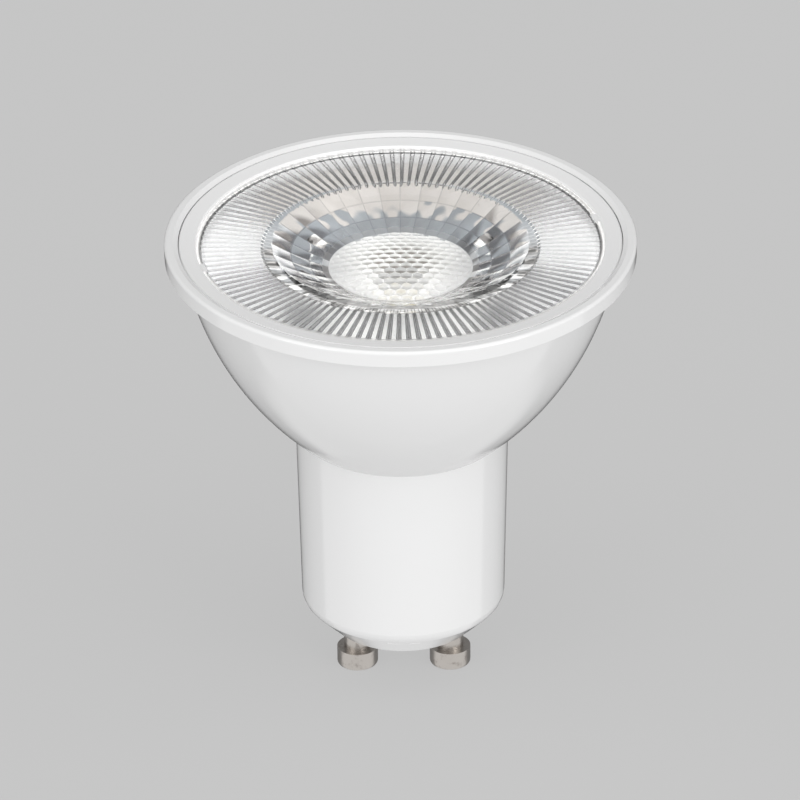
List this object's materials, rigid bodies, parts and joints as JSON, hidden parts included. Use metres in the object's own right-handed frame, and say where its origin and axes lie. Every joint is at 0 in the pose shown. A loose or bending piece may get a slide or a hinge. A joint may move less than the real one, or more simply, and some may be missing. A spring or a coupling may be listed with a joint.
{
  "type": "gu10 spotlight bulb",
  "caption": "Reflector-shaped spotlight bulb with a white dished body, a clear ribbed lens with a faceted recess, and a twist-lock base with two headed pins.",
  "frame": {"origin": "midway between the two contact pins, at the level of their ends", "axes": "+Z out of the lit face along the bulb's axis, X along the line through the two pins"},
  "size_m": [0.05, 0.05, 0.052],
  "materials": {
    "white_plastic": "glossy moulded",
    "ring_plastic": "satin moulded",
    "clear_plastic": "clear moulded acrylic",
    "cup_aluminium": "pressed, bright",
    "white_board": "white solder mask",
    "emitter_white": "matt",
    "phosphor_yellow": "satin",
    "screw_steel": "zinc plated",
    "pin_metal": "nickel plated, satin",
    "green_board": "solder mask",
    "capacitor_sleeve": "shrunk sleeve",
    "ferrite": "matt",
    "copper_wire": "enamelled",
    "resistor_body": "lacquered",
    "chip_black": "matt",
    "wire_white": "satin"
  },
  "bodies": {
    "root": {"housing": "white_plastic", "retaining_ring": "ring_plastic", "lens": "clear_plastic", "heat_sink_cup": "cup_aluminium", "led_board": "white_board", "led_emitter": "emitter_white", "led_phosphor": "phosphor_yellow", "board_screw_left": "screw_steel", "board_screw_right": "screw_steel", "contact_pin_left": "pin_metal", "contact_pin_right": "pin_metal", "driver_board": "green_board", "smoothing_capacitor": "capacitor_sleeve", "input_capacitor": "capacitor_sleeve", "power_inductor": "ferrite", "inductor_winding": "copper_wire", "fuse_resistor": "resistor_body", "bridge_rectifier": "chip_black", "driver_chip": "chip_black", "pin_lead_left": "wire_white", "pin_lead_right": "wire_white", "led_lead_negative": "wire_white", "led_lead_positive": "wire_white"}
  },
  "joints": []
}
